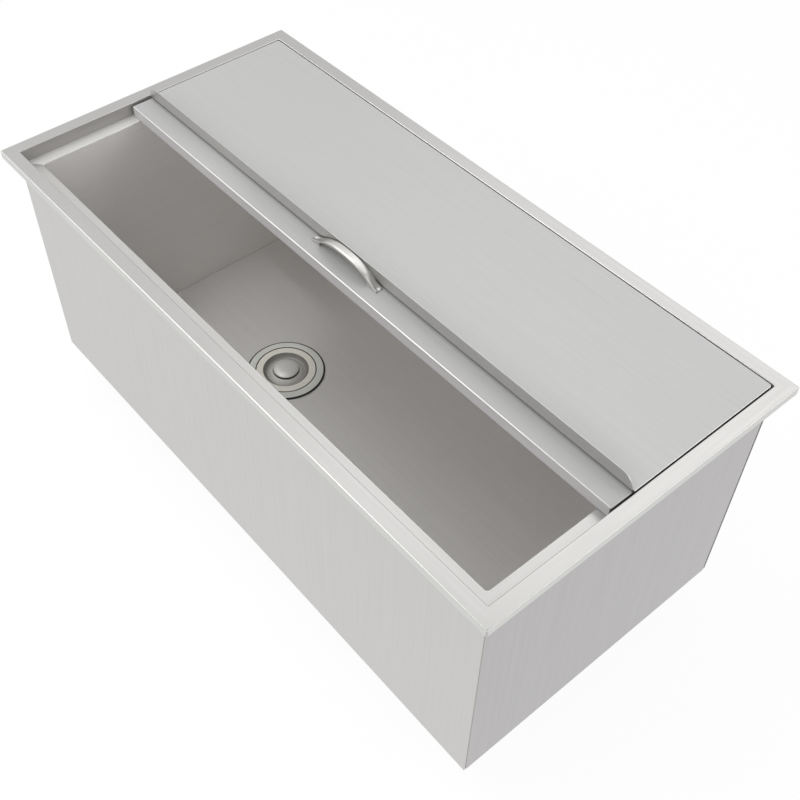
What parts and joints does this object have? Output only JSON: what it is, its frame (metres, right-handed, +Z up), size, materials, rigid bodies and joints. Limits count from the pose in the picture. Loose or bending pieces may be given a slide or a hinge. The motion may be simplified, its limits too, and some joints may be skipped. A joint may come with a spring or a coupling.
{
  "type": "outdoor kitchen ice chest",
  "caption": "Drop-in insulated ice chest: a deep rectangular steel tub in a flanged rim, with a lid that slides under a lift-off rear cover and a basket-strainer drain.",
  "frame": {"origin": "centre of the rim in plan, at the worktop's surface, where the flange's down-turned lip rests", "axes": "+X along the chest's length, the drain's end at -X; +Y from the front, where the lid closes, to the rear cover; +Z up"},
  "size_m": [0.914, 0.455, 0.427],
  "materials": {
    "brushed_steel": "brushed",
    "tub_steel": "brushed",
    "satin_nickel": "satin",
    "insulation_foam": "matte",
    "black_rubber": "matte",
    "fibre_washer": "matte",
    "glide_nylon": "satin"
  },
  "bodies": {
    "chest": {"rim_frame": "brushed_steel", "tub_liner": "tub_steel", "jacket_front": "brushed_steel", "jacket_back": "brushed_steel", "jacket_left": "brushed_steel", "jacket_right": "brushed_steel", "jacket_bottom": "brushed_steel", "foam_front": "insulation_foam", "foam_back": "insulation_foam", "foam_left": "insulation_foam", "foam_right": "insulation_foam", "foam_bottom": "insulation_foam", "flange_seal": "black_rubber", "strainer_body": "satin_nickel", "rubber_gasket": "black_rubber", "fibre_washer": "fibre_washer", "drain_locknut": "satin_nickel"},
    "stopper": {"stopper_plate": "satin_nickel", "strainer_basket": "satin_nickel", "stopper_knob": "satin_nickel", "stopper_stem": "satin_nickel", "stopper_disc": "black_rubber"},
    "sliding_lid": {"lid_skin": "brushed_steel", "lid_inner_pan": "brushed_steel", "lid_foam": "insulation_foam", "lid_glide_front_left": "glide_nylon", "lid_glide_front_right": "glide_nylon", "lid_glide_back_left": "glide_nylon", "lid_glide_back_right": "glide_nylon", "bow_handle": "satin_nickel", "handle_screw_left": "satin_nickel", "handle_screw_right": "satin_nickel"},
    "rear_cover": {"cover_panel": "brushed_steel"}
  },
  "joints": [
    {"name": "lid_slide", "type": "slide", "parent": "chest", "child": "sliding_lid", "axis": [0, -1, 0], "range_m": [0, 0.165]},
    {"name": "cover_lift", "type": "slide", "parent": "chest", "child": "rear_cover", "axis": [0, 0, 1], "range_m": [0, 0.1]},
    {"name": "stopper_lift", "type": "slide", "parent": "chest", "child": "stopper", "axis": [0, 0, 1], "range_m": [0, 0.1]}
  ]
}
